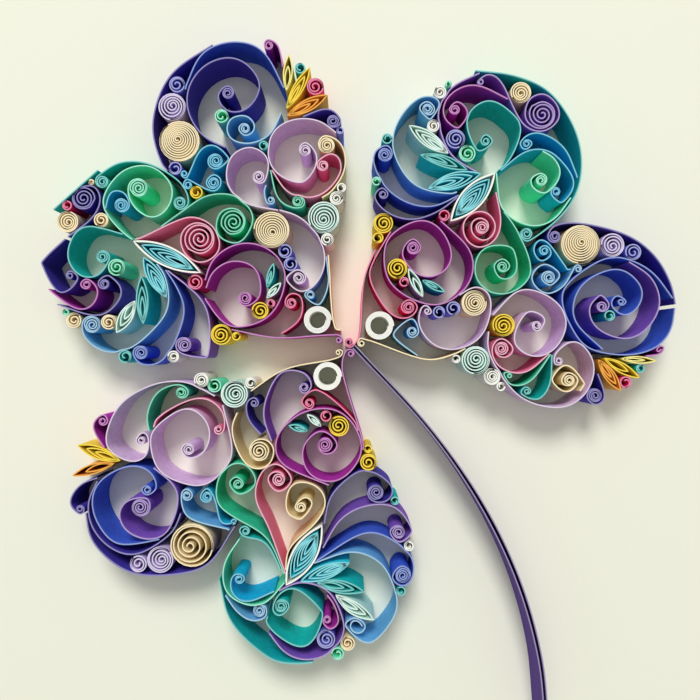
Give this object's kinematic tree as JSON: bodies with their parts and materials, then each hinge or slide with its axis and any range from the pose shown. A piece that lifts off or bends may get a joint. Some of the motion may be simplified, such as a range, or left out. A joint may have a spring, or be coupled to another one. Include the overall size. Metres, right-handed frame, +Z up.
{
  "type": "quilled paper art",
  "caption": "Quilled paper clover: three scrolled leaves of coils, scrolls and pinched coils of paper strip on edge, with a long curved stem",
  "frame": {"origin": "the middle of the whole footprint, the stem included, in the plane that the strips stand on", "axes": "+Z is up from the backing plane along the height of the strips, +Y runs from the end of the stem up the picture, +X to its right"},
  "size_m": [0.127, 0.1386, 0.01],
  "materials": {
    "blue_paper": "matte coloured paper",
    "cerulean_paper": "matte coloured paper",
    "cobalt_paper": "matte coloured paper",
    "cream_paper": "matte coloured paper",
    "crimson_paper": "matte coloured paper",
    "green_paper": "matte coloured paper",
    "lavender_paper": "matte coloured paper",
    "light_blue_paper": "matte coloured paper",
    "magenta_paper": "matte coloured paper",
    "mauve_paper": "matte coloured paper",
    "mint_paper": "matte coloured paper",
    "navy_paper": "matte coloured paper",
    "orange_paper": "matte coloured paper",
    "pale_paper": "matte coloured paper",
    "pale_yellow_paper": "matte coloured paper",
    "pink_paper": "matte coloured paper",
    "stem_paper": "matte coloured paper",
    "teal_paper": "matte coloured paper",
    "turquoise_paper": "matte coloured paper",
    "violet_paper": "matte coloured paper",
    "white_paper": "matte coloured paper",
    "yellow_paper": "matte coloured paper"
  },
  "bodies": {
    "root": {"blue_coils": "blue_paper", "bottom_leaf_cerulean_scrolls": "cerulean_paper", "bottom_leaf_cobalt_scrolls": "cobalt_paper", "bottom_leaf_cream_scrolls": "cream_paper", "bottom_leaf_crimson_scrolls": "crimson_paper", "bottom_leaf_green_scrolls": "green_paper", "bottom_leaf_light_blue_scrolls": "light_blue_paper", "bottom_leaf_magenta_scrolls": "magenta_paper", "bottom_leaf_mauve_scrolls": "mauve_paper", "bottom_leaf_mint_scrolls": "mint_paper", "bottom_leaf_navy_scrolls": "navy_paper", "bottom_leaf_pink_scrolls": "pink_paper", "bottom_leaf_teal_scrolls": "teal_paper", "bottom_leaf_violet_scrolls": "violet_paper", "cream_coils": "cream_paper", "crimson_coils": "crimson_paper", "inner_stem_strip": "stem_paper", "lavender_coils": "lavender_paper", "left_leaf_cerulean_scrolls": "cerulean_paper", "left_leaf_cobalt_scrolls": "cobalt_paper", "left_leaf_cream_scrolls": "cream_paper", "left_leaf_crimson_scrolls": "crimson_paper", "left_leaf_green_scrolls": "green_paper", "left_leaf_light_blue_scrolls": "light_blue_paper", "left_leaf_magenta_scrolls": "magenta_paper", "left_leaf_mauve_scrolls": "mauve_paper", "left_leaf_mint_scrolls": "mint_paper", "left_leaf_navy_scrolls": "navy_paper", "left_leaf_pink_scrolls": "pink_paper", "left_leaf_teal_scrolls": "teal_paper", "left_leaf_violet_scrolls": "violet_paper", "mint_coils": "mint_paper", "orange_marquises": "orange_paper", "outer_stem_strip": "stem_paper", "pale_marquises": "pale_paper", "pale_yellow_marquises": "pale_yellow_paper", "right_leaf_cerulean_scrolls": "cerulean_paper", "right_leaf_cobalt_scrolls": "cobalt_paper", "right_leaf_cream_scrolls": "cream_paper", "right_leaf_crimson_scrolls": "crimson_paper", "right_leaf_green_scrolls": "green_paper", "right_leaf_light_blue_scrolls": "light_blue_paper", "right_leaf_magenta_scrolls": "magenta_paper", "right_leaf_mauve_scrolls": "mauve_paper", "right_leaf_mint_scrolls": "mint_paper", "right_leaf_navy_scrolls": "navy_paper", "right_leaf_pink_scrolls": "pink_paper", "right_leaf_teal_scrolls": "teal_paper", "right_leaf_violet_scrolls": "violet_paper", "teal_coils": "teal_paper", "teal_marquises": "teal_paper", "turquoise_marquises": "turquoise_paper", "white_borders": "white_paper", "white_coils": "white_paper", "white_rings": "white_paper", "yellow_coils": "yellow_paper", "yellow_marquises": "yellow_paper"}
  },
  "joints": []
}
